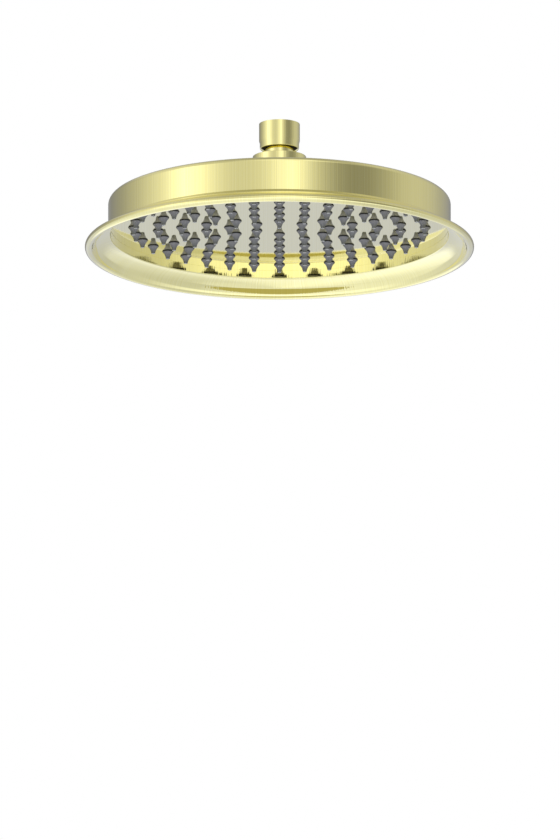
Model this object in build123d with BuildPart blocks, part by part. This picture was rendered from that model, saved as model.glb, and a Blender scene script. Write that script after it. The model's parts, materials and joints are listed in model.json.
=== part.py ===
"""Rain shower head: a flared, spun metal body on a ball joint, with a field of silicone nozzles."""

import os
from math import acos, atan2, cos, degrees, hypot, pi, radians, sin, sqrt

from build123d import *

# Driving dimensions, in millimetres and degrees.
# The origin is the centre of the inlet thread's mouth, and +Z points up the pipe.

# Swivel nut, with a female G1/2 pipe thread in its top
thread_minor_r = 9.3155
thread_depth = 7.0
groove_depth = 0.7  # run-out under the thread, where the washer lies
nut_r = 13.1
nut_barrel_height = 11.1
nut_step = 0.5  # the lower barrel is this much smaller in radius
nut_taper = 2.0  # height over which it narrows
nut_chamfer = 0.3
mouth_rim = 0.3  # flat ring round the open mouth
mouth_taper = 1.9  # the mouth narrows by this much in radius, up to its roof
mouth_depth = 1.2  # at the lip
mouth_rise = 2.1  # the roof slopes up from the lip, to let the nose tilt
lip_land = 0.5

# Inlet washer
washer_thickness = 1.4
washer_ledge = 0.15  # the bore's margin over the seat below it
washer_slip = 0.25

# Ball joint
ball_r = 7.0
ball_fit = 0.1
seat_latitude = 17.0  # from the ball's equator to the cones that bear on it
seat_half_run = 1.2  # half a cone's length along its slope
chamber_step = 0.1  # the seat's chamber is this much smaller than the thread
seat_slip = 0.15
tilt_limit = 12.0
headroom = 0.2  # room over the tilted ball, up to the thread
neck_r = 5.0
waterway_r = 3.2
shank_length = 10.0  # below the nose
shank_fit = 0.05

# Boss that carries the ball stem on the body
mouth_gap = 1.1  # from the nose to the mouth's narrow end, so that it can tilt
nose_entry = 0.6  # how far the nose stands into the mouth
nose_dish = 1.2  # hollow of its top, towards the stem
nose_height = 5.7
nose_fillet = 2.0
boss_r = 17.2
boss_height = 16.7
spigot_r = 9.0
spigot_reach = 1.6
spigot_fit = 0.1

# Spun body
sheet = 1.4
rim_r = 125.0
cove_width = 11.4
cove_drop = 4.2
lip_height = 3.3  # straight inside of the rim, between cove and bead
bead_r = 2.5  # round bead along the rim
bead_turn = 112.5  # where the flare meets it, from its widest point
bead_flat_count = 13
recess_depth = 5.4  # from the face plate down to the cove
plate_drop = 18.2  # from the shoulder down to the face plate
corner_r = 3.5
corner_flat_count = 3
shoulder_width = 7.0
crown_rise = 11.8
crown_margin = 2.8  # flat land round the boss
crown_flat_count = 3

# Face plate, a pressed cup, and the seal above it
plate_sheet = 0.8
plate_slip = 0.2
seal_height = 2.0
seal_land = 1.5  # flat that bears on the shoulder

# Nozzle mat
ring_count = 6
ring_step = 6  # each ring has this many nozzles more than the one inside it
first_ring_r = 16.7
field_border = 14.0  # from the outer ring to the cup's wall
nozzle_flat_count = 8
nozzle_base_r = 3.6
nozzle_tip_r = 1.55
nozzle_reach = 5.1
hole_fit = 0.1
mat_thickness = 1.6
mat_slip = 0.3

# Cones that bear on the ball: a narrow and a wide end, at two heights from the ball's centre
socket_r = ball_r + ball_fit
latitude = radians(seat_latitude)
seat_far = socket_r * sin(latitude) + seat_half_run * cos(latitude)
seat_near = socket_r * sin(latitude) - seat_half_run * cos(latitude)
seat_wide_r = socket_r * cos(latitude) + seat_half_run * sin(latitude)
seat_narrow_r = socket_r * cos(latitude) - seat_half_run * sin(latitude)

# Heights, from the inlet down to the rim
seat_top_z = -thread_depth - washer_thickness - ball_fit
ball_z = seat_top_z - seat_far
lip_z = ball_z - seat_far
mouth_z = lip_z - lip_land
nut_bottom_z = mouth_z - mouth_depth
nose_top_z = nut_bottom_z + nose_entry
boss_top_z = nose_top_z - nose_height
crown_z = boss_top_z - boss_height
shoulder_z = crown_z - crown_rise
plate_z = shoulder_z - plate_drop
mat_z = plate_z + plate_sheet
cove_z = plate_z - recess_depth
lip_top_z = cove_z - cove_drop
bead_z = lip_top_z - lip_height

# Radii
groove_r = thread_minor_r + groove_depth
chamber_r = thread_minor_r - chamber_step
nut_skirt_r = nut_r - nut_step
mouth_r = nut_skirt_r - nut_chamfer - mouth_rim
roof_r = mouth_r - mouth_taper
nose_r = roof_r - mouth_gap
lip_r = rim_r - 2 * bead_r
bore_r = lip_r - cove_width
wall_r = bore_r + sheet
shoulder_r = wall_r - shoulder_width
crown_land_r = boss_r + crown_margin
plate_r = bore_r - plate_slip
cup_r = plate_r - plate_sheet
seal_r = bore_r - corner_r
ring_pitch = (cup_r - field_border - first_ring_r) / (ring_count - 1)

os.makedirs("parts", exist_ok=True)


def rounded(center, radius, start, end, flats):
    """Points along a round from one angle to another, a flat between each two."""
    turns = [radians(start + (end - start) * i / flats) for i in range(flats + 1)]
    return [(center[0] + radius * cos(a), center[1] + radius * sin(a)) for a in turns]


# Swivel nut: thread, washer groove, seat chamber, the cone under the ball and an open mouth
with BuildPart() as swivel_nut:
    with BuildSketch(Plane.XZ):
        with BuildLine():
            Polyline(
                (thread_minor_r, 0),
                (nut_r, 0),
                (nut_r, -nut_barrel_height),
                (nut_skirt_r, -nut_barrel_height - nut_taper),
                (nut_skirt_r, nut_bottom_z + nut_chamfer),
                (nut_skirt_r - nut_chamfer, nut_bottom_z),
                (mouth_r, nut_bottom_z),
                (roof_r, mouth_z + mouth_rise),
                (seat_narrow_r, mouth_z),
                (seat_narrow_r, lip_z),
                (seat_wide_r, ball_z - seat_near),
                (seat_wide_r, ball_z),
                (chamber_r, ball_z),
                (chamber_r, seat_top_z),
                (groove_r, seat_top_z),
                (groove_r, -thread_depth),
                (thread_minor_r, -thread_depth),
                close=True,
            )
        make_face()
    revolve(axis=Axis.Z)
swivel_nut.part.label = "swivel_nut"
export_step(swivel_nut.part, "parts/swivel_nut.step")

# Inlet washer, in the groove under the end of the pipe
with BuildPart() as inlet_washer:
    with BuildSketch(Plane.XY.offset(-thread_depth)):
        Circle(groove_r - washer_slip)
        Circle(seat_narrow_r + washer_ledge, mode=Mode.SUBTRACT)
    extrude(amount=-washer_thickness)
inlet_washer.part.label = "inlet_washer"
export_step(inlet_washer.part, "parts/inlet_washer.step")

# Ball seat: a slip ring whose cone bears on the ball from above
with BuildPart() as ball_seat:
    with BuildSketch(Plane.XZ):
        with BuildLine():
            Polyline(
                (seat_narrow_r, seat_top_z),
                (chamber_r - seat_slip, seat_top_z),
                (chamber_r - seat_slip, ball_z + seat_near),
                (seat_wide_r, ball_z + seat_near),
                close=True,
            )
        make_face()
    revolve(axis=Axis.Z)
ball_seat.part.label = "ball_seat"
export_step(ball_seat.part, "parts/ball_seat.step")

# Ball stem: a hollow shank under a ball, whose top is cut flat to clear the pipe at full tilt
highest = -thread_depth - headroom - ball_z
flat_angle = acos(highest / ball_r) + radians(tilt_limit)
flat_r = ball_r * sin(flat_angle)
flat_z = ball_z + ball_r * cos(flat_angle)
neck_z = ball_z - sqrt(ball_r**2 - neck_r**2)
shank_z = boss_top_z - shank_length
with BuildPart() as ball_stem:
    with BuildSketch(Plane.XZ):
        with BuildLine():
            ThreePointArc((flat_r, flat_z), (ball_r, ball_z), (neck_r, neck_z))
            Polyline(
                (neck_r, neck_z),
                (neck_r, shank_z),
                (waterway_r, shank_z),
                (waterway_r, flat_z),
                (flat_r, flat_z),
            )
        make_face()
    revolve(axis=Axis.Z)
ball_stem.part.label = "ball_stem"
export_step(ball_stem.part, "parts/ball_stem.step")

# Neck boss: a nose round the shank, a drum, and a spigot brazed into the crown
spigot_z = crown_z - sheet - spigot_reach
fillet_inset = nose_fillet * (1 - sin(pi / 4))
with BuildPart() as neck_boss:
    with BuildSketch(Plane.XZ):
        with BuildLine():
            Polyline(
                (nose_r + nose_fillet, boss_top_z),
                (boss_r, boss_top_z),
                (boss_r, crown_z),
                (spigot_r, crown_z),
                (spigot_r, spigot_z),
                (neck_r + shank_fit, spigot_z),
                (neck_r + shank_fit, nose_top_z - nose_dish),
                (nose_r, nose_top_z),
                (nose_r, boss_top_z + nose_fillet),
            )
            ThreePointArc(
                (nose_r, boss_top_z + nose_fillet),
                (nose_r + fillet_inset, boss_top_z + fillet_inset),
                (nose_r + nose_fillet, boss_top_z),
            )
        make_face()
    revolve(axis=Axis.Z)
neck_boss.part.label = "neck_boss"
export_step(neck_boss.part, "parts/neck_boss.step")

# Body: one spun sheet with a shallow ball-shaped crown, a straight wall, a flared cove
# and an edge that is rolled into a lip with a round bead
crown_center_z = crown_z - (shoulder_r**2 - crown_land_r**2 + crown_rise**2) / (2 * crown_rise)
crown_r = hypot(shoulder_r, shoulder_z - crown_center_z)
under_r = crown_r - sheet
under_z = crown_center_z + sqrt(under_r**2 - crown_land_r**2)
under_start = degrees(atan2(shoulder_z - crown_center_z, shoulder_r))
under_end = degrees(atan2(under_z - crown_center_z, crown_land_r))
hole_r = spigot_r + spigot_fit
corner_center = (wall_r - corner_r, shoulder_z - corner_r)
bead = rounded((rim_r - bead_r, bead_z), bead_r, bead_turn, -180, bead_flat_count)
with BuildPart() as body:
    with BuildSketch(Plane.XZ):
        with BuildLine():
            Polyline((hole_r, under_z), (hole_r, crown_z), (crown_land_r, crown_z))
            RadiusArc((crown_land_r, crown_z), (shoulder_r, shoulder_z), crown_r)
            Polyline(
                (shoulder_r, shoulder_z),
                *rounded(corner_center, corner_r, 90, 0, corner_flat_count),
                (wall_r, cove_z + sheet),
            )
            TangentArc((wall_r, cove_z + sheet), bead[0], tangent=(1, 0))
            Polyline(*bead, (lip_r, lip_top_z))
            TangentArc((bore_r, cove_z), (lip_r, lip_top_z), tangent=(1, 0))
            Polyline(
                (bore_r, cove_z),
                *rounded(corner_center, corner_r - sheet, 0, 90, corner_flat_count),
                *rounded((0, crown_center_z), under_r, under_start, under_end, crown_flat_count),
                (hole_r, under_z),
            )
        make_face()
    revolve(axis=Axis.Z)
body.part.label = "body"
export_step(body.part, "parts/body.step")

# Face seal, between the cup's edge and the body's shoulder
seal_z = shoulder_z - sheet
with BuildPart() as face_seal:
    with BuildSketch(Plane.XZ):
        with BuildLine():
            Polyline(
                (seal_r - seal_land, seal_z),
                (seal_r, seal_z),
                (plate_r, seal_z - corner_r),
                (plate_r, seal_z - corner_r - seal_height),
                (seal_r - seal_land, seal_z - corner_r - seal_height),
                close=True,
            )
        make_face()
    revolve(axis=Axis.Z)
face_seal.part.label = "face_seal"
export_step(face_seal.part, "parts/face_seal.step")

# Face plate: a pressed cup with a hole for each nozzle
cup_top_z = seal_z - corner_r - seal_height
with BuildPart() as face_plate:
    with BuildSketch(Plane.XY.offset(plate_z)):
        Circle(plate_r)
    extrude(amount=cup_top_z - plate_z)
    with BuildSketch(Plane.XY.offset(mat_z)):
        Circle(cup_r)
    extrude(amount=cup_top_z - mat_z, mode=Mode.SUBTRACT)
    with BuildSketch(Plane.XY.offset(plate_z)):
        for ring in range(ring_count):
            with PolarLocations(first_ring_r + ring * ring_pitch, ring_step * (ring + 1), start_angle=90):
                RegularPolygon(nozzle_base_r + hole_fit, nozzle_flat_count)
    extrude(amount=plate_sheet, mode=Mode.SUBTRACT)
face_plate.part.label = "face_plate"
export_step(face_plate.part, "parts/face_plate.step")

# One nozzle, drafted from the mat's face down to its tip
nozzle_length = plate_sheet + nozzle_reach
nozzle_inset = (nozzle_base_r - nozzle_tip_r) * cos(pi / nozzle_flat_count)
nozzle_draft = degrees(atan2(nozzle_inset, nozzle_length))
with BuildPart() as nozzle:
    with BuildSketch():
        RegularPolygon(nozzle_base_r, nozzle_flat_count)
    extrude(amount=-nozzle_length)
    flanks = nozzle.faces().filter_by(Axis.Z, reverse=True)
    draft(flanks, Plane.XY, -nozzle_draft)

# Nozzle mat: one silicone moulding behind the face plate, with its nozzles through the holes
with BuildPart() as nozzle_mat:
    with BuildSketch(Plane.XY.offset(mat_z)):
        Circle(cup_r - mat_slip)
    extrude(amount=mat_thickness)
    for ring in range(ring_count):
        with Locations((0, 0, mat_z)):
            with PolarLocations(first_ring_r + ring * ring_pitch, ring_step * (ring + 1), start_angle=90):
                add(nozzle.part)
nozzle_mat.part.label = "nozzle_mat"
export_step(nozzle_mat.part, "parts/nozzle_mat.step")
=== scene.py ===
import json
import math
import bpy
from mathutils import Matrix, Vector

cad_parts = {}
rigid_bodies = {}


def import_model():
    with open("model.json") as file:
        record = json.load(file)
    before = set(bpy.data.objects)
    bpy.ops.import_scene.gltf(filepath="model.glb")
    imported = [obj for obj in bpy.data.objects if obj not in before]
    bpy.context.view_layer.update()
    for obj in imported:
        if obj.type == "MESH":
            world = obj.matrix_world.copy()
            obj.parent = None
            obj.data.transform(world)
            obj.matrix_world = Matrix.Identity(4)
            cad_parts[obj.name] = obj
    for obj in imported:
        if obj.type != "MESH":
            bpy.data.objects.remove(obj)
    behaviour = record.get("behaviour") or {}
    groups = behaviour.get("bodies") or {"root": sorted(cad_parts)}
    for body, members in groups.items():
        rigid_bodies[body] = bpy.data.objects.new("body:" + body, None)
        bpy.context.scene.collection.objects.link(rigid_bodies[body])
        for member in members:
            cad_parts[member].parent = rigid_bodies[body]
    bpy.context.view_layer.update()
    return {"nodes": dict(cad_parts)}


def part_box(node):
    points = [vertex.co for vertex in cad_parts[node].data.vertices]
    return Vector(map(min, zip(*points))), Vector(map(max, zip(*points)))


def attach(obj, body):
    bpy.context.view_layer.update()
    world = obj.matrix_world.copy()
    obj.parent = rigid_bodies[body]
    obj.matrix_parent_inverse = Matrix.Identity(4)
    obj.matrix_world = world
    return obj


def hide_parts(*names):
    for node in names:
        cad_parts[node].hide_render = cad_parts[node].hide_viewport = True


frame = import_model()
mm = 0.001
print("frame loaded:", sorted(frame["nodes"]))


def nodeHeights(node):
    low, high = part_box(node)
    return low.z / mm, high.z / mm


# heights that several pieces share, in mm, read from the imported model
nutFoot, nutTop = nodeHeights("swivel_nut")
bossFoot, noseTop = nodeHeights("neck_boss")
rimFoot, crownTop = nodeHeights("body")
plateFace, cupEdge = nodeHeights("face_plate")
nozzleTip, matBack = nodeHeights("nozzle_mat")
seatLow, seatTop = nodeHeights("ball_seat")


def linearColor(hexCode):
    parts = [int(hexCode[i:i + 2], 16) / 255 for i in (1, 3, 5)]
    return [p / 12.92 if p <= 0.04045 else ((p + 0.055) / 1.055) ** 2.4 for p in parts] + [1.0]


def addNode(tree, kind, settings=None, links=None):
    node = tree.nodes.new(kind)
    for key, value in (settings or {}).items():
        if isinstance(key, int) or key in node.inputs:
            node.inputs[key].default_value = value
        else:
            setattr(node, key, value)
    for key, socket in (links or {}).items():
        tree.links.new(socket, node.inputs[key])
    return node


def startMaterial(name):
    material = bpy.data.materials.new(name)
    material.use_nodes = True
    material.node_tree.nodes.clear()
    return material, material.node_tree


def arcRings(center, radius, start, end, count):
    turns = [math.radians(start + (end - start) * i / max(count, 1)) for i in range(count + 1)]
    return [(center[0] + radius * math.cos(a), center[1] + radius * math.sin(a)) for a in turns]


def selectOnly(*pieces):
    # the first one is the active one
    bpy.ops.object.select_all(action='DESELECT')
    for piece in pieces:
        piece.select_set(True)
    bpy.context.view_layer.objects.active = pieces[0]


def startPiece(name):
    piece = bpy.context.object
    piece.name = name
    piece.data.name = name
    bpy.ops.object.mode_set(mode='EDIT')
    bpy.ops.mesh.select_all(action='SELECT')
    return piece


def turnOnLathe(name, rings, steps, capEnds=False):
    # a circle is extruded ring by ring along the profile, and each new ring is resized to its radius
    bpy.ops.object.select_all(action='DESELECT')
    radius, height = rings[0]
    bpy.ops.mesh.primitive_circle_add(vertices=steps, radius=radius * mm, location=(0, 0, 0))
    piece = startPiece(name)
    bpy.ops.transform.translate(value=(0, 0, height * mm))
    if capEnds:
        bpy.ops.mesh.edge_face_add()
        bpy.ops.mesh.extrude_region_move(TRANSFORM_OT_translate={"value": (0, 0, 0)})
    for nextRadius, nextHeight in rings[1:]:
        step = {"value": (0, 0, (nextHeight - height) * mm)}
        if capEnds:
            bpy.ops.mesh.extrude_region_move(TRANSFORM_OT_translate=step)
        else:
            bpy.ops.mesh.extrude_edges_move(TRANSFORM_OT_translate=step)
        grow = nextRadius / radius
        bpy.ops.transform.resize(value=(grow, grow, 1), center_override=(0, 0, nextHeight * mm))
        radius, height = nextRadius, nextHeight
    bpy.ops.mesh.select_all(action='SELECT')
    bpy.ops.mesh.remove_doubles(threshold=0.002 * mm)
    bpy.ops.mesh.normals_make_consistent(inside=False)
    bpy.ops.object.mode_set(mode='OBJECT')
    return piece


def easeEdges(piece, width, segments, angle):
    ease = piece.modifiers.new("easedEdges", 'BEVEL')
    ease.width = width * mm
    ease.segments = segments
    ease.limit_method = 'ANGLE'
    ease.angle_limit = math.radians(angle)
    bpy.ops.object.modifier_apply(modifier=ease.name)


def finishPiece(piece, material, body, node, smoothAngle=35):
    selectOnly(piece)
    bpy.ops.object.shade_smooth_by_angle(angle=math.radians(smoothAngle))
    # broad faces keep their own direction beside small rounds, so that straight walls reflect straight
    even = piece.modifiers.new("evenShading", 'WEIGHTED_NORMAL')
    even.keep_sharp = True
    bpy.ops.object.modifier_apply(modifier=even.name)
    piece.data.materials.clear()
    piece.data.materials.append(material)
    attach(piece, body)
    if node:
        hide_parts(node)


# Lacquered brass in a light gold tone, brushed with a fine belt and then polished. The brush lines
# spread reflections across them and leave them sharp along them, and the clear lacquer pales the gold
# seen edge on.
brass = {
    "tone": "#F1E799",
    "paleTone": "#F6EEA6",
    "lineSpacing": 0.9,      # mm; real brush lines are near 0.2 mm, drawn coarser so that they show
    "bandSpacing": 7.0,      # mm, slow changes between passes of the belt
    "bandShare": 0.35,
    "shadeLow": 0.45,
    "shadeHigh": 0.95,
    "roughSpread": 0.3,
    "lineDepth": 0.06,       # mm
    "lineStrength": 0.5,
    "lacquerIor": 1.5,
    "lacquerRoughness": 0.03,
}


def brushedBrass(name, streakRadius, roughness, straight=False):
    material, tree = startMaterial(name)
    place = addNode(tree, 'ShaderNodeTexCoord')
    if straight:
        # straight lines along Y
        lay = addNode(tree, 'ShaderNodeSeparateXYZ', {}, {"Vector": place.outputs["Object"]})
        across = lay.outputs["X"]
        perLine, perBand = 1 / (brass["lineSpacing"] * mm), 1 / (brass["bandSpacing"] * mm)
    else:
        # lines that run down the walls and outwards on the flares: only the angle about Z counts
        lay = addNode(tree, 'ShaderNodeTexGradient', {"gradient_type": 'RADIAL'},
                      {"Vector": place.outputs["Object"]})
        across = lay.outputs["Fac"]
        girth = 2 * math.pi * streakRadius
        perLine, perBand = girth / brass["lineSpacing"], girth / brass["bandSpacing"]
    lines = addNode(tree, 'ShaderNodeTexNoise',
                    {"noise_dimensions": '1D', "Scale": perLine, "Detail": 1.0, "Roughness": 0.5},
                    {"W": across})
    bands = addNode(tree, 'ShaderNodeTexNoise',
                    {"noise_dimensions": '1D', "Scale": perBand, "Detail": 1.0},
                    {"W": across})
    both = addNode(tree, 'ShaderNodeMath', {"operation": 'MULTIPLY_ADD', 1: brass["bandShare"]},
                   {0: bands.outputs["Fac"], 2: lines.outputs["Fac"]})
    shade = addNode(tree, 'ShaderNodeMapRange',
                    {"From Min": brass["shadeLow"], "From Max": brass["shadeHigh"]},
                    {"Value": both.outputs["Value"]})
    tone = addNode(tree, 'ShaderNodeMix',
                   {"data_type": 'RGBA', 6: linearColor(brass["tone"]), 7: linearColor(brass["paleTone"])},
                   {0: shade.outputs["Result"]})
    rough = addNode(tree, 'ShaderNodeMapRange',
                    {"To Min": roughness * (1 - brass["roughSpread"]),
                     "To Max": roughness * (1 + brass["roughSpread"])},
                    {"Value": shade.outputs["Result"]})
    bump = addNode(tree, 'ShaderNodeBump',
                   {"Strength": brass["lineStrength"], "Distance": brass["lineDepth"] * mm},
                   {"Height": lines.outputs["Fac"]})
    skin = addNode(tree, 'ShaderNodeBsdfPrincipled',
                   {"Metallic": 1.0, "Coat Weight": 1.0, "Coat Roughness": brass["lacquerRoughness"],
                    "Coat IOR": brass["lacquerIor"]},
                   {"Base Color": tone.outputs[2], "Roughness": rough.outputs["Result"],
                    "Normal": bump.outputs["Normal"]})
    addNode(tree, 'ShaderNodeOutputMaterial', {}, {"Surface": skin.outputs["BSDF"]})
    return material


# Moulded grey silicone: satin, with a fine cloudy grain from the mould. Bands by height paint the rest: the
# nozzles turn darker towards the tip, a painted shadow makes a dark line where each nozzle comes through
# the plate, and a painted highlight makes the end around the outlet pale. Each band has its tone and the
# heights where it starts to show and where it is full.
silicone = {
    "tone": "#97979C", "darkTone": "#8A8A8F", "grain": 0.8, "roughness": 0.42, "ior": 1.41,
    "heightBands": [
        # darker towards the tip
        ("#686A68", plateFace - 1.5, nozzleTip + 0.5),
        # painted shadow: a near-black line at the root, in the gap where the nozzle comes through the plate
        ("#191916", plateFace - 0.6, plateFace - 0.45),
        # painted highlight: the pale end face of the tip around the outlet
        ("#E4E4E0", nozzleTip + 0.1, nozzleTip + 0.05),
    ],
}
# Moulded black rubber, matt and a little dusty
washerLook = {"tone": "#1B1B1C", "darkTone": "#121213", "grain": 0.5, "roughness": 0.6, "ior": 1.52}
# Moulded white acetal, smooth with a faint sheen
seatLook = {"tone": "#E4E3DD", "darkTone": "#D6D5CE", "grain": 0.4, "roughness": 0.38, "ior": 1.48}
# what the mould's skin gives all three: grain depth in mm
mould = {"roughSpread": 0.06, "grainStrength": 0.2, "grainDepth": 0.02}


def mouldedRubber(name, look):
    material, tree = startMaterial(name)
    place = addNode(tree, 'ShaderNodeTexCoord')
    grain = addNode(tree, 'ShaderNodeTexNoise', {"Scale": 1 / (look["grain"] * mm), "Detail": 3.0},
                    {"Vector": place.outputs["Object"]})
    tone = addNode(tree, 'ShaderNodeMix',
                   {"data_type": 'RGBA', 6: linearColor(look["darkTone"]), 7: linearColor(look["tone"])},
                   {0: grain.outputs["Fac"]})
    height = addNode(tree, 'ShaderNodeSeparateXYZ', {}, {"Vector": place.outputs["Object"]})
    # bands of tone by height; on the silicone they paint a shadow at the plate and a highlight at the tip
    for bandTone, startsAt, fullAt in look.get("heightBands", []):
        share = addNode(tree, 'ShaderNodeMapRange', {"From Min": startsAt * mm, "From Max": fullAt * mm},
                        {"Value": height.outputs["Z"]})
        tone = addNode(tree, 'ShaderNodeMix', {"data_type": 'RGBA', 7: linearColor(bandTone)},
                       {0: share.outputs["Result"], 6: tone.outputs[2]})
    rough = addNode(tree, 'ShaderNodeMapRange',
                    {"To Min": look["roughness"] - mould["roughSpread"],
                     "To Max": look["roughness"] + mould["roughSpread"]},
                    {"Value": grain.outputs["Fac"]})
    bump = addNode(tree, 'ShaderNodeBump',
                   {"Strength": mould["grainStrength"], "Distance": mould["grainDepth"] * mm},
                   {"Height": grain.outputs["Fac"]})
    skin = addNode(tree, 'ShaderNodeBsdfPrincipled', {"IOR": look["ior"]},
                   {"Base Color": tone.outputs[2], "Roughness": rough.outputs["Result"],
                    "Normal": bump.outputs["Normal"]})
    addNode(tree, 'ShaderNodeOutputMaterial', {}, {"Surface": skin.outputs["BSDF"]})
    return material


# Painted shade inside the nut's mouth: a dull, brown-black metal in clouds of about 2 mm, put where the
# mouth's hollow lies in shade
mouthShadeLook = {"tone": "#463F26", "darkTone": "#2C2819", "cloud": 2.0, "roughness": 0.5}
mouthShadeBrass, tree = startMaterial("paintedMouthShade")
place = addNode(tree, 'ShaderNodeTexCoord')
cloud = addNode(tree, 'ShaderNodeTexNoise', {"Scale": 1 / (mouthShadeLook["cloud"] * mm), "Detail": 2.0},
                {"Vector": place.outputs["Object"]})
tone = addNode(tree, 'ShaderNodeMix',
               {"data_type": 'RGBA', 6: linearColor(mouthShadeLook["darkTone"]), 7: linearColor(mouthShadeLook["tone"])},
               {0: cloud.outputs["Fac"]})
skin = addNode(tree, 'ShaderNodeBsdfPrincipled', {"Metallic": 1.0, "Roughness": mouthShadeLook["roughness"]},
               {"Base Color": tone.outputs[2]})
addNode(tree, 'ShaderNodeOutputMaterial', {}, {"Surface": skin.outputs["BSDF"]})

# the radius at which each turned piece has its true line spacing, then its roughness
wallBrass = brushedBrass("brushedBrassBody", 110.0, 0.04)
neckBrass = brushedBrass("brushedBrassNeck", 17.0, 0.1)
nutBrass = brushedBrass("brushedBrassNut", 13.1, 0.09)
plateBrass = brushedBrass("brushedBrassPlate", 0, 0.04, straight=True)
greySilicone = mouldedRubber("mouldedGreySilicone", silicone)
blackRubber = mouldedRubber("mouldedBlackRubber", washerLook)
whiteAcetal = mouldedRubber("mouldedWhiteAcetal", seatLook)
print("materials made")


# Spun body: crown, wall, flare, a lip with a round bead, cove and the inside of the sheet
shell = {
    "hole": 9.1, "land": 20.0, "shoulder": 103.0, "crownRise": 11.8, "corner": 3.5,
    "wall": 110.0, "bore": 108.6, "sheet": 1.4, "recess": 5.4, "edgeRound": 0.7,
    "footSlope": 1.9, "footDrop": 1.6,                      # narrow slope at the wall's foot
    "rim": 125.0, "bead": 2.5, "beadTurn": 112.5, "crease": 148.0,
    "coveSlope": 10.0, "cornerR": 118.03, "cornerDrop": 3.94, "lipHead": 50.0,
    "steps": 192,
}


def slopeArc(start, end, slope, count):
    # an arc that falls outwards from start to end, and leaves start at the given slope
    reach, fall = end[0] - start[0], start[1] - end[1]
    chordSlope = math.degrees(math.atan2(fall, reach))
    radius = math.hypot(reach, fall) / (2 * math.sin(math.radians(chordSlope - slope)))
    turn = math.radians(90 - slope)
    center = (start[0] - radius * math.cos(turn), start[1] - radius * math.sin(turn))
    return arcRings(center, radius, 90 - slope, 90 - 2 * chordSlope + slope, count)


def spunBodyRings():
    s = shell
    shoulderZ = crownTop - s["crownRise"]
    coveZ = plateFace - s["recess"]
    footZ = coveZ + s["sheet"] - s["footDrop"]
    # crown: part of a large ball through the land's edge and the shoulder
    drop = (s["shoulder"] ** 2 - s["land"] ** 2 + s["crownRise"] ** 2) / (2 * s["crownRise"])
    ballZ = crownTop - drop
    ballR = math.hypot(s["shoulder"], shoulderZ - ballZ)
    landTurn = math.degrees(math.acos(s["land"] / ballR))
    shoulderTurn = math.degrees(math.acos(s["shoulder"] / ballR))
    rings = [(s["hole"], crownTop - s["sheet"]), (s["hole"], crownTop)]
    rings += arcRings((0, ballZ), ballR, landTurn, shoulderTurn, 18)
    cornerAt = (s["wall"] - s["corner"], shoulderZ - s["corner"])
    rings += arcRings(cornerAt, s["corner"], 90, 0, 10)
    # foot of the wall with its narrow slope, then the flare, which turns down to the bead
    beadAt = (s["rim"] - s["bead"], rimFoot + s["bead"])
    bead = arcRings(beadAt, s["bead"], s["beadTurn"], -s["crease"], 24)
    rings += [(s["wall"], footZ + s["footSlope"]), (s["wall"] + s["footSlope"], footZ)]
    reach, fall = bead[0][0] - s["wall"], footZ - bead[0][1]
    flareR = (reach ** 2 + fall ** 2) / (2 * fall)
    flareStart = 90 - math.degrees(math.asin(s["footSlope"] / flareR))
    flareEnd = 90 - math.degrees(math.asin(reach / flareR))
    rings += arcRings((s["wall"], footZ - flareR), flareR, flareStart, flareEnd, 14)
    rings += bead[1:]
    # inside of the rim: a steep arc from the crease at the bead to a corner, then the cove to the bore
    edgeAt = (s["bore"] + s["edgeRound"], coveZ + s["edgeRound"])
    edgeArc = arcRings(edgeAt, s["edgeRound"], 270 - s["coveSlope"], 180, 4)
    corner = (s["cornerR"], coveZ - s["cornerDrop"])
    lip = slopeArc(corner, bead[-1], s["lipHead"], 10)
    cove = slopeArc(edgeArc[0], corner, s["coveSlope"], 14)
    rings += lip[-2::-1] + cove[-2::-1]
    rings += edgeArc[1:]
    # inside of wall and crown
    rings += arcRings(cornerAt, s["corner"] - s["sheet"], 0, 90, 4)
    rings += arcRings((0, ballZ), ballR - s["sheet"], shoulderTurn, landTurn, 10)
    rings.append(rings[0])
    return rings


spunBody = turnOnLathe("spunBody", spunBodyRings(), shell["steps"])
finishPiece(spunBody, wallBrass, "head", "body")
print("spun body:", len(spunBody.data.polygons), "faces")


# Boss: dished nose that enters the nut, drum that stands on the crown, spigot through it
boss = {
    "bore": 5.05, "nose": 9.0, "noseHeight": 5.7, "noseDish": 1.2, "noseFillet": 2.0, "drum": 17.2,
    "spigot": 9.0, "easing": 0.3, "easingSegments": 3, "easingAngle": 40, "steps": 96,
}
drumTop = noseTop - boss["noseHeight"]
filletAt = (boss["nose"] + boss["noseFillet"], drumTop + boss["noseFillet"])
bossRings = [(boss["bore"], noseTop - boss["noseDish"]), (boss["nose"], noseTop)]
bossRings += arcRings(filletAt, boss["noseFillet"], 180, 270, 6)
bossRings += [
    (boss["drum"], drumTop), (boss["drum"], crownTop),
    (boss["spigot"], crownTop), (boss["spigot"], bossFoot),
    (boss["bore"], bossFoot), (boss["bore"], noseTop - boss["noseDish"]),
]
neckBoss = turnOnLathe("neckBoss", bossRings, boss["steps"])
easeEdges(neckBoss, boss["easing"], boss["easingSegments"], boss["easingAngle"])
finishPiece(neckBoss, neckBrass, "head", "neck_boss")
print("boss:", len(neckBoss.data.polygons), "faces")


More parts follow.
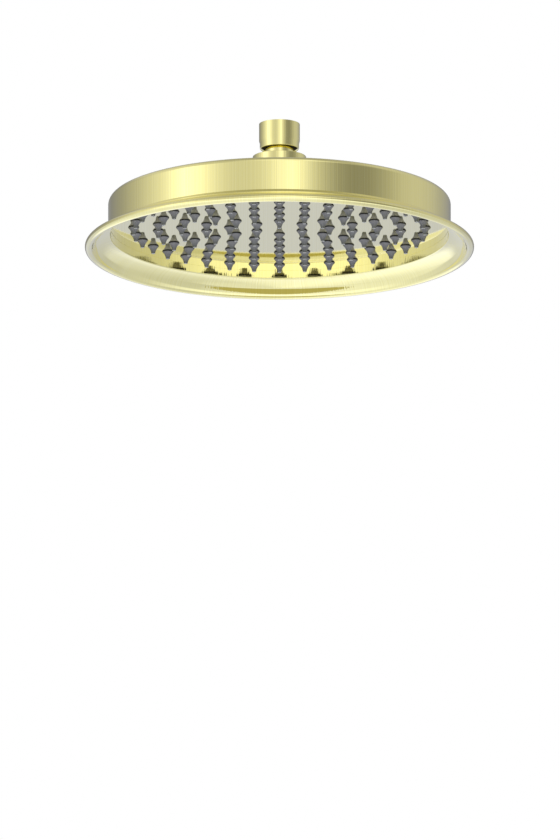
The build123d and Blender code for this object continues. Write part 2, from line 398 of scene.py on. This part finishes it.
# Nut: a barrel that narrows to a skirt; thread, washer groove, seat chamber and open mouth inside
nut = {
    "barrel": 13.1, "barrelHeight": 11.1, "skirt": 12.6, "taper": 2.0, "chamfer": 0.3,
    "mouth": 12.0, "mouthDepth": 1.2, "shadeEdge": 11.5, "roof": 10.1, "roofRise": 2.1,
    "lip": 6.44, "lipLand": 0.5, "socket": 7.14, "chamber": 9.2155, "groove": 10.0155,
    "threadDepth": 7.0, "threadRoot": 10.45, "leadIn": 0.5,
    "easing": 0.15, "easingSegments": 2, "easingAngle": 25, "steps": 96,
}
mouthTop = nutFoot + nut["mouthDepth"]
roofTop = mouthTop + nut["roofRise"]
lipTop = mouthTop + nut["lipLand"]
shadeEdgeShare = (nut["mouth"] - nut["shadeEdge"]) / (nut["mouth"] - nut["roof"])
ballLevel = (seatTop + lipTop) / 2
socketLow = ballLevel - (seatLow - ballLevel)
nutRings = [
    (nut["threadRoot"], -nut["leadIn"]), (nut["threadRoot"] + nut["leadIn"], nutTop),
    (nut["barrel"], nutTop), (nut["barrel"], -nut["barrelHeight"]),
    (nut["skirt"], -nut["barrelHeight"] - nut["taper"]), (nut["skirt"], nutFoot + nut["chamfer"]),
    (nut["skirt"] - nut["chamfer"], nutFoot), (nut["mouth"], nutFoot),
    (nut["shadeEdge"], nutFoot + shadeEdgeShare * (roofTop - nutFoot)), (nut["roof"], roofTop),
    (nut["lip"], mouthTop), (nut["lip"], lipTop),
    (nut["socket"], socketLow), (nut["socket"], ballLevel),
    (nut["chamber"], ballLevel), (nut["chamber"], seatTop),
    (nut["groove"], seatTop), (nut["groove"], -nut["threadDepth"]),
    (nut["threadRoot"], -nut["threadDepth"]), (nut["threadRoot"], -nut["leadIn"]),
]
swivelNut = turnOnLathe("swivelNut", nutRings, nut["steps"])
easeEdges(swivelNut, nut["easing"], nut["easingSegments"], nut["easingAngle"])
finishPiece(swivelNut, nutBrass, "inlet", "swivel_nut")
# the inside of the mouth gets the dark metal as painted shade
swivelNut.data.materials.append(mouthShadeBrass)
for face in swivelNut.data.polygons:
    fromAxis = math.hypot(face.center.x, face.center.y)
    if fromAxis < nut["shadeEdge"] * mm and face.center.z < roofTop * mm:
        face.material_index = 1
print("nut:", len(swivelNut.data.polygons), "faces")

# Pipe thread in the nut: one tooth, wound down the bore by a screw
thread = {
    "pitch": 1.814, "crest": 9.33, "root": 10.6, "halfCrest": 0.2, "halfRoot": 0.78, "top": -1.0,
    "turns": 3, "steps": 64,
}
bpy.ops.object.select_all(action='DESELECT')
bpy.ops.mesh.primitive_plane_add(size=1, location=(0, 0, 0))
inletThread = startPiece("inletThread")
bpy.ops.object.mode_set(mode='OBJECT')
for corner in inletThread.data.vertices:
    outer, upper = corner.co.x > 0, corner.co.y > 0
    half = thread["halfRoot"] if outer else thread["halfCrest"]
    height = thread["top"] + (half if upper else -half)
    corner.co = ((thread["root"] if outer else thread["crest"]) * mm, 0, height * mm)
wind = inletThread.modifiers.new("windThread", 'SCREW')
wind.axis = 'Z'
wind.angle = 2 * math.pi
wind.screw_offset = -thread["pitch"] * mm
wind.iterations = thread["turns"]
wind.steps = wind.render_steps = thread["steps"]
wind.use_merge_vertices = False
bpy.ops.object.modifier_apply(modifier=wind.name)
# both ends of the wound tooth are closed
bpy.ops.object.mode_set(mode='EDIT')
bpy.ops.mesh.select_all(action='DESELECT')
bpy.ops.mesh.select_mode(type='EDGE')
bpy.ops.mesh.select_non_manifold(extend=False)
bpy.ops.mesh.fill_holes(sides=4)
bpy.ops.mesh.select_all(action='SELECT')
bpy.ops.mesh.normals_make_consistent(inside=False)
bpy.ops.mesh.select_mode(type='VERT')
bpy.ops.object.mode_set(mode='OBJECT')
finishPiece(inletThread, nutBrass, "inlet", None)
print("thread:", len(inletThread.data.polygons), "faces")


# Places of the nozzles: ring after ring, six more in each, one of each ring on +Y
field = {"rings": 6, "step": 6, "first": 16.7, "outer": 93.6}


def nozzlePlaces():
    places = []
    pitch = (field["outer"] - field["first"]) / (field["rings"] - 1)
    for ring in range(field["rings"]):
        count = field["step"] * (ring + 1)
        for i in range(count):
            turn = math.radians(90 + 360 * i / count)
            radius = field["first"] + pitch * ring
            places.append((radius * math.cos(turn) * mm, radius * math.sin(turn) * mm))
    return places


def copyToField(master, name):
    # one copy for each place, each with its own mesh, then all joined
    copies = []
    for x, y in nozzlePlaces():
        selectOnly(master)
        bpy.ops.object.duplicate(linked=False)
        copy = bpy.context.object
        copy.location = (x, y, 0)
        copies.append(copy)
    bpy.data.objects.remove(master)
    selectOnly(*copies)
    bpy.ops.object.transform_apply(location=True, rotation=False, scale=False)
    bpy.ops.object.join()
    joined = bpy.context.object
    joined.name = name
    joined.data.name = name
    return joined


# Face plate: a pressed cup with a round hole for every nozzle
plate = {
    "radius": 108.55, "inner": 107.6, "sheet": 0.8, "edgeRound": 0.1, "border": 4.0,
    "hole": 3.62, "holeSides": 24, "drillReach": 2.0, "steps": 192,
}
plateBack = plateFace + plate["sheet"]
edgeAt = (plate["radius"] - plate["edgeRound"], plateFace + plate["edgeRound"])
plateRings = [(plate["radius"] - plate["border"], plateFace)]
plateRings += arcRings(edgeAt, plate["edgeRound"], 270, 360, 4)
plateRings += [(plate["radius"], cupEdge), (plate["inner"], cupEdge), (plate["inner"], plateBack)]
facePlate = turnOnLathe("facePlate", plateRings, plate["steps"], capEnds=True)
drillLow, drillTop = plateFace - plate["drillReach"], plateBack + plate["drillReach"]
drillRings = [(plate["hole"], drillLow), (plate["hole"], drillTop)]
drill = turnOnLathe("holeDrill", drillRings, plate["holeSides"], capEnds=True)
drills = copyToField(drill, "holeDrills")
selectOnly(facePlate)
pierce = facePlate.modifiers.new("pierce", 'BOOLEAN')
pierce.operation = 'DIFFERENCE'
pierce.solver = 'EXACT'
pierce.object = drills
bpy.ops.object.modifier_apply(modifier=pierce.name)
bpy.data.objects.remove(drills)
finishPiece(facePlate, plateBrass, "head", "face_plate")
print("face plate:", len(facePlate.data.polygons), "faces")


# Nozzles: soft bells with an upright brim at the plate and an outlet in the tip, on a mat behind the plate
nozzle = {
    "brim": 3.45, "brimHeight": 0.6, "bell": 2.3, "bellDrop": 1.8, "neck": 1.6, "neckDrop": 3.3,
    "tip": 1.15, "outlet": 0.45, "outletEnd": 0.36, "outletDepth": 0.7, "sides": 12,
}
nozzleRings = [
    (nozzle["brim"], plateBack), (nozzle["brim"], plateFace - nozzle["brimHeight"]),
    (nozzle["bell"], plateFace - nozzle["bellDrop"]), (nozzle["neck"], plateFace - nozzle["neckDrop"]),
    (nozzle["tip"], nozzleTip), (nozzle["outlet"], nozzleTip),
    (nozzle["outletEnd"], nozzleTip + nozzle["outletDepth"]),
]
oneNozzle = turnOnLathe("oneNozzle", nozzleRings, nozzle["sides"], capEnds=True)
nozzles = copyToField(oneNozzle, "nozzles")
mat = {"radius": 107.3, "steps": 96, "smoothAngle": 50}
matRings = [(mat["radius"], plateBack), (mat["radius"], matBack)]
nozzleMat = turnOnLathe("nozzleMat", matRings, mat["steps"], capEnds=True)
selectOnly(nozzleMat, nozzles)
bpy.ops.object.join()
finishPiece(nozzleMat, greySilicone, "head", "nozzle_mat", mat["smoothAngle"])
print("nozzle mat:", len(nozzleMat.data.polygons), "faces")

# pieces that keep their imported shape, inside the joint and the chamber
keptPieces = {"inlet_washer": blackRubber, "face_seal": blackRubber, "ball_seat": whiteAcetal,
              "ball_stem": nutBrass}
for node, material in keptPieces.items():
    kept = frame["nodes"][node]
    kept.data.materials.clear()
    kept.data.materials.append(material)
print("packed pieces given their materials")


# Studio: a pale floor far below, a dome that only reflections see, soft lamps and a white world
studio = {
    "floorHeight": -0.9, "floorSize": 24.0, "floorTone": "#C9CCD3",
    "domeRadius": 3.0, "domeSegments": 96, "domeRings": 48, "domeStrength": 2.0, "ambient": 0.35,
}

bpy.ops.object.select_all(action='DESELECT')
bpy.ops.mesh.primitive_plane_add(size=studio["floorSize"], location=(0, 0, studio["floorHeight"]))
floor = bpy.context.object
floor.name = "floor"
floorPaper, tree = startMaterial("floorPaper")
paper = addNode(tree, 'ShaderNodeBsdfDiffuse', {"Color": linearColor(studio["floorTone"])})
addNode(tree, 'ShaderNodeOutputMaterial', {}, {"Surface": paper.outputs["BSDF"]})
floor.data.materials.append(floorPaper)
floor.visible_glossy = False  # the dome's ground stands for it in reflections

# brightness of the dome by direction: degrees from the camera's side towards the right, and the level there
upperLight = [
    (-90, 0.82), (-80, 1.02), (-70, 1.45), (-60, 1.4), (-50, 1.12), (-40, 0.85), (-30, 0.72), (-20, 0.72),
    (-10, 0.82), (0, 1.1), (10, 1.3), (20, 0.82), (30, 0.53), (40, 0.35), (50, 0.285), (60, 0.3),
    (70, 0.37), (80, 0.48), (90, 0.58), (105, 0.62), (120, 0.57), (135, 0.46), (155, 0.34), (170, 0.25),
    (180, 0.1), (190, 0.3), (205, 0.26), (230, 0.37), (250, 0.55), (270, 0.82),
]
lowerLight = [
    (-90, 0.9), (-50, 1.3), (0, 1.4), (50, 1.2), (90, 0.75), (135, 0.6), (165, 0.62), (180, 0.64),
    (195, 0.72), (225, 0.75), (270, 0.9),
]
groundLight = [
    (-90, 0.95), (-56, 1.02), (-20, 1.08), (20, 1.05), (45, 0.85), (60, 0.7), (90, 0.68), (135, 0.72),
    (165, 0.85), (180, 1.12), (195, 1.25), (225, 1.0), (270, 0.95),
]
nadirLight = [(-90, 0.95), (165, 0.9), (180, 1.1), (195, 1.2), (270, 0.95)]
highLight = [
    (-90, 0.8), (-62, 0.7), (-42, 0.6), (-23, 0.75), (0, 1.15), (24, 1.05), (43, 0.62), (62, 0.45),
    (85, 0.62), (112, 0.6), (180, 0.42), (270, 0.8),
]
skyLight = [(-90, 0.42), (270, 0.42)]
# each layer over the first, with the heights in degrees where it starts to show and where it is full;
# all below level is a little cool
plainTint, coolTint = (1, 1, 1), (0.96, 1.0, 1.2)
layers = [
    (upperLight, 0, 0, plainTint), (lowerLight, 4, -8, coolTint), (groundLight, -19, -27, coolTint),
    (nadirLight, -60, -72, coolTint), (highLight, 22, 40, plainTint), (skyLight, 52, 80, plainTint),
]

bpy.ops.object.select_all(action='DESELECT')
bpy.ops.mesh.primitive_uv_sphere_add(segments=studio["domeSegments"], ring_count=studio["domeRings"],
                                     radius=studio["domeRadius"], location=(0, 0, 0))
dome = bpy.context.object
dome.name = "studioDome"
domeGlow, tree = startMaterial("domeGlow")
place = addNode(tree, 'ShaderNodeTexCoord')
turn = addNode(tree, 'ShaderNodeTexGradient', {"gradient_type": 'RADIAL'},
               {"Vector": place.outputs["Object"]})
height = addNode(tree, 'ShaderNodeSeparateXYZ', {}, {"Vector": place.outputs["Object"]})
shown = None
for lights, startsAt, fullAt, tint in layers:
    ramp = addNode(tree, 'ShaderNodeValToRGB', {}, {"Fac": turn.outputs["Fac"]})
    stops = ramp.color_ramp.elements
    while len(stops) < len(lights):
        stops.new(1.0)
    for stop, (degrees, level) in zip(stops, lights):
        stop.position = (degrees + 90) / 360
        stop.color = [level / studio["domeStrength"] * part for part in tint] + [1]
    if shown is None:
        shown = ramp.outputs["Color"]
        continue
    limits = {"From Min": studio["domeRadius"] * math.sin(math.radians(startsAt)),
              "From Max": studio["domeRadius"] * math.sin(math.radians(fullAt))}
    share = addNode(tree, 'ShaderNodeMapRange', {"interpolation_type": 'SMOOTHSTEP', **limits},
                    {"Value": height.outputs["Z"]})
    over = addNode(tree, 'ShaderNodeMix', {"data_type": 'RGBA'},
                   {0: share.outputs["Result"], 6: shown, 7: ramp.outputs["Color"]})
    shown = over.outputs[2]
glow = addNode(tree, 'ShaderNodeEmission', {"Strength": studio["domeStrength"]}, {"Color": shown})
addNode(tree, 'ShaderNodeOutputMaterial', {}, {"Surface": glow.outputs["Emission"]})
domeGlow.cycles.emission_sampling = 'NONE'
dome.data.materials.append(domeGlow)

# a warm card that stands below the head and faces its far side: only reflections see it, from its face
card = {
    "halfWidth": 84.0, "taper": 0.5, "halfHeight": 100.0, "below": 164.0, "middle": 9.0,
    "tone": (0.5, 0.46, 0.23, 1), "sides": 48,
}
bpy.ops.object.select_all(action='DESELECT')
bpy.ops.mesh.primitive_circle_add(vertices=card["sides"], radius=1, fill_type='NGON', location=(0, 0, 0))
warmCard = startPiece("warmCard")
bpy.ops.object.mode_set(mode='OBJECT')
for corner in warmCard.data.vertices:
    side, rise = corner.co.x, corner.co.y
    corner.co = (-card["halfWidth"] * side * (1 - card["taper"] * rise) * mm, card["middle"] * mm,
                 (plateFace - card["below"] + card["halfHeight"] * rise) * mm)
cardGlow, tree = startMaterial("warmCardGlow")
glow = addNode(tree, 'ShaderNodeEmission', {"Color": card["tone"], "Strength": 1.0})
clear = addNode(tree, 'ShaderNodeBsdfTransparent')
facing = addNode(tree, 'ShaderNodeNewGeometry')
oneSided = addNode(tree, 'ShaderNodeMixShader', {},
                   {0: facing.outputs["Backfacing"], 1: glow.outputs["Emission"], 2: clear.outputs["BSDF"]})
addNode(tree, 'ShaderNodeOutputMaterial', {}, {"Surface": oneSided.outputs["Shader"]})
cardGlow.cycles.emission_sampling = 'NONE'
warmCard.data.materials.append(cardGlow)
for backdrop in (dome, warmCard):
    backdrop.visible_camera = False
    backdrop.visible_diffuse = False
    backdrop.visible_shadow = False

# soft lamps, all turned to the middle of the face; the dome stands for them in reflections
lamps = {
    "keyLamp": {"place": (-1.3, -1.6, 1.2), "size": 1.4, "power": 26},
    "lowLamp": {"place": (0.3, -1.7, -0.7), "size": 1.2, "power": 16},
    "sideLamp": {"place": (1.8, 0.5, 0.6), "size": 1.2, "power": 10},
}
headCenter = (0, 0, plateFace * mm)
for name, look in lamps.items():
    bpy.ops.object.select_all(action='DESELECT')
    bpy.ops.object.light_add(type='AREA', location=look["place"])
    lamp = bpy.context.object
    lamp.name = name
    lamp.data.size = look["size"]
    lamp.data.energy = look["power"]
    away = [p - c for p, c in zip(look["place"], headCenter)]
    flat = math.hypot(away[0], away[1])
    lamp.rotation_euler = (math.atan2(flat, away[2]), 0, math.atan2(away[0], -away[1]))
    lamp.visible_glossy = False

# the world is white to the camera, in reflections and through glass, and dimmer as light
world = bpy.data.worlds.new("whiteStudio")
bpy.context.scene.world = world
world.use_nodes = True
tree = world.node_tree
tree.nodes.clear()
rays = addNode(tree, 'ShaderNodeLightPath')
seen = addNode(tree, 'ShaderNodeMath', {"operation": 'MAXIMUM'},
               {0: rays.outputs["Is Camera Ray"], 1: rays.outputs["Is Glossy Ray"]})
seen = addNode(tree, 'ShaderNodeMath', {"operation": 'MAXIMUM'},
               {0: seen.outputs["Value"], 1: rays.outputs["Is Transmission Ray"]})
ambient = addNode(tree, 'ShaderNodeBackground', {"Color": (1, 1, 1, 1), "Strength": studio["ambient"]})
white = addNode(tree, 'ShaderNodeBackground', {"Color": (1, 1, 1, 1), "Strength": 1.0})
mixed = addNode(tree, 'ShaderNodeMixShader', {},
                {0: seen.outputs["Value"], 1: ambient.outputs["Background"],
                 2: white.outputs["Background"]})
addNode(tree, 'ShaderNodeOutputWorld', {}, {"Surface": mixed.outputs["Shader"]})
print("studio lit")


# Camera: no perspective, a little below the rim, looking up. The picture is 560 by 840.
view = {
    "below": 14.87, "mmPerPixel": 0.6422, "width": 560, "height": 840,
    "acrossPixel": 279.45, "plateCenterPixel": 227.3, "distance": 1.2,
}
tilt = math.radians(view["below"])
lens = bpy.data.cameras.new("viewCamera")
camera = bpy.data.objects.new("viewCamera", lens)
bpy.context.scene.collection.objects.link(camera)
lens.type = 'ORTHO'
lens.ortho_scale = view["height"] * view["mmPerPixel"] * mm
sideways = (view["width"] / 2 - view["acrossPixel"]) * view["mmPerPixel"] * mm
upwards = (view["plateCenterPixel"] - view["height"] / 2) * view["mmPerPixel"] * mm
camera.location = (sideways,
                   -upwards * math.sin(tilt) - view["distance"] * math.cos(tilt),
                   plateFace * mm + upwards * math.cos(tilt) - view["distance"] * math.sin(tilt))
camera.rotation_euler = (math.pi / 2 + tilt, 0, 0)
bpy.context.scene.camera = camera
bpy.context.scene.view_settings.view_transform = 'Standard'
print("camera set")
